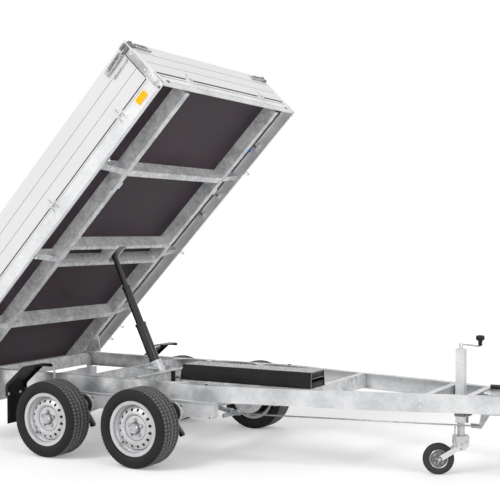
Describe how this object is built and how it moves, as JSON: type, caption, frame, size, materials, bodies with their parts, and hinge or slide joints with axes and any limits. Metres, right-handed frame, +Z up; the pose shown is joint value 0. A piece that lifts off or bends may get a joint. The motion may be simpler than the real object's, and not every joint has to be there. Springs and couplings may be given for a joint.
{
  "type": "tipping trailer",
  "caption": "Tandem axle tipping trailer with galvanised frame, low aluminium dropsides, telescopic tipping cylinder, raised bed, drawbar coupling and jockey wheel.",
  "frame": {"origin": "on the ground under the middle of the whole trailer's length and width, bed raised", "axes": "+X forward along the drawbar, +Y to the trailer's left, +Z up"},
  "size_m": [4.8468, 1.848, 2.7887],
  "materials": {
    "galvanised": "hot dip zinc, mottled, satin",
    "bright_zinc": "bright zinc plate, satin",
    "panel_aluminium": "anodised, satin",
    "floor_ply": "dark phenolic film on plywood, satin",
    "black_enamel": "gloss black enamel",
    "rim_silver": "silver lacquer, satin",
    "tyre_rubber": "matt rubber",
    "black_plastic": "matt black plastic",
    "black_rubber": "matt rubber",
    "cast_zinc": "zinc plated casting, satin",
    "drum_iron": "dark cast iron, matt",
    "amber_lens": "amber lens, gloss",
    "red_lens": "red lens, gloss"
  },
  "bodies": {
    "chassis": {"side_beam_left": "galvanised", "side_beam_right": "galvanised", "chassis_crossmembers": "galvanised", "cylinder_bearers": "galvanised", "bed_hinge_brackets": "galvanised", "axle_carriers": "galvanised", "axle_tubes": "galvanised", "swing_arms": "galvanised", "axle_dampers": "black_enamel", "brake_linkage": "bright_zinc", "mudguards": "black_plastic", "mudguard_stays": "galvanised", "ramps": "black_plastic", "jockey_tube": "bright_zinc", "jockey_clamp": "galvanised", "jockey_crank": "bright_zinc", "overrun_housing": "cast_zinc", "shaft_bellows": "black_rubber", "coupling_head": "bright_zinc", "handbrake_lever": "black_plastic", "lamp_board": "galvanised", "tail_lamps": "red_lens"},
    "bed": {"bed_side_frames": "galvanised", "bed_end_rails": "galvanised", "bed_longerons": "galvanised", "bed_crossmembers": "galvanised", "bed_outriggers": "galvanised", "bed_floor": "floor_ply", "corner_posts": "galvanised", "cylinder_bracket": "galvanised", "side_reflectors": "amber_lens", "latch_keepers": "cast_zinc"},
    "cylinder": {"cylinder_body": "galvanised"},
    "stage_1": {"cylinder_stage_1": "black_enamel"},
    "stage_2": {"cylinder_stage_2": "black_enamel"},
    "rod": {"cylinder_rod": "black_enamel"},
    "dropside_right": {"dropside_right": "panel_aluminium", "dropside_latches_right": "cast_zinc"},
    "dropside_left": {"dropside_left": "panel_aluminium", "dropside_latches_left": "cast_zinc"},
    "headboard": {"headboard": "panel_aluminium", "headboard_latches": "cast_zinc"},
    "tailgate": {"tailgate": "panel_aluminium"},
    "jockey_leg": {"jockey_leg": "bright_zinc"},
    "jockey_caster": {"jockey_fork": "bright_zinc"},
    "jockey_wheel": {"jockey_tyre": "black_rubber", "jockey_rim": "rim_silver"},
    "wheel_front_right": {"tyre_front_right": "tyre_rubber", "rim_front_right": "rim_silver", "drum_front_right": "drum_iron"},
    "wheel_front_left": {"tyre_front_left": "tyre_rubber", "rim_front_left": "rim_silver", "drum_front_left": "drum_iron"},
    "wheel_rear_right": {"tyre_rear_right": "tyre_rubber", "rim_rear_right": "rim_silver", "drum_rear_right": "drum_iron"},
    "wheel_rear_left": {"tyre_rear_left": "tyre_rubber", "rim_rear_left": "rim_silver", "drum_rear_left": "drum_iron"}
  },
  "joints": [
    {"name": "bed_tilt", "type": "hinge", "parent": "chassis", "child": "bed", "pos_m": [-1.87655, 0, 0.69], "axis": [0, 1, 0], "range_deg": [0, 45.57]},
    {"name": "cylinder_pivot", "type": "hinge", "parent": "chassis", "child": "cylinder", "pos_m": [-0.77155, 0, 0.53], "axis": [0, 1, 0], "range_deg": [0, 5.5]},
    {"name": "stage_1_slide", "type": "slide", "parent": "cylinder", "child": "stage_1", "axis": [-0.4301, 0, 0.9028], "range_m": [-0.2914, 0]},
    {"name": "stage_2_slide", "type": "slide", "parent": "stage_1", "child": "stage_2", "axis": [-0.4301, 0, 0.9028], "range_m": [-0.2919, 0]},
    {"name": "rod_slide", "type": "slide", "parent": "stage_2", "child": "rod", "axis": [-0.4301, 0, 0.9028], "range_m": [-0.1901, 0]},
    {"name": "dropside_right_hinge", "type": "hinge", "parent": "bed", "child": "dropside_right", "pos_m": [-1.10792, -0.916, 1.61693], "axis": [0.7, 0, 0.7141], "range_deg": [0, 180]},
    {"name": "dropside_left_hinge", "type": "hinge", "parent": "bed", "child": "dropside_left", "pos_m": [-1.10792, 0.916, 1.61693], "axis": [-0.7, 0, -0.7141], "range_deg": [0, 180]},
    {"name": "headboard_hinge", "type": "hinge", "parent": "bed", "child": "headboard", "pos_m": [-0.16497, 0, 2.57883], "axis": [0, 1, 0], "range_deg": [0, 135]},
    {"name": "tailgate_hinge", "type": "hinge", "parent": "bed", "child": "tailgate", "pos_m": [-2.40184, 0, 0.71412], "axis": [0, 1, 0], "range_deg": [0, 110]},
    {"name": "wheel_front_right_spin", "type": "hinge", "parent": "chassis", "child": "wheel_front_right", "pos_m": [-0.36955, -0.79, 0.2625], "axis": [0, 1, 0], "continuous": true},
    {"name": "wheel_front_left_spin", "type": "hinge", "parent": "chassis", "child": "wheel_front_left", "pos_m": [-0.36955, 0.79, 0.2625], "axis": [0, 1, 0], "continuous": true},
    {"name": "wheel_rear_right_spin", "type": "hinge", "parent": "chassis", "child": "wheel_rear_right", "pos_m": [-1.10955, -0.79, 0.2625], "axis": [0, 1, 0], "continuous": true},
    {"name": "wheel_rear_left_spin", "type": "hinge", "parent": "chassis", "child": "wheel_rear_left", "pos_m": [-1.10955, 0.79, 0.2625], "axis": [0, 1, 0], "continuous": true},
    {"name": "jockey_lift", "type": "slide", "parent": "chassis", "child": "jockey_leg", "axis": [0, 0, 1], "range_m": [-0.2, 0.05]},
    {"name": "jockey_swivel", "type": "hinge", "parent": "jockey_leg", "child": "jockey_caster", "pos_m": [1.56645, 0, 0.2], "axis": [0, 0, 1], "continuous": true},
    {"name": "jockey_wheel_spin", "type": "hinge", "parent": "jockey_caster", "child": "jockey_wheel", "pos_m": [1.44026, -0.06937, 0.1], "axis": [-0.4818, 0.8763, 0], "continuous": true}
  ],
  "couplings": [
    {"joint": "cylinder_pivot", "follows": "bed_tilt", "ratio": 0.12},
    {"joint": "stage_1_slide", "follows": "bed_tilt", "m_per_rad": -0.36519},
    {"joint": "stage_2_slide", "follows": "bed_tilt", "m_per_rad": -0.36582},
    {"joint": "rod_slide", "follows": "bed_tilt", "m_per_rad": -0.23776}
  ]
}
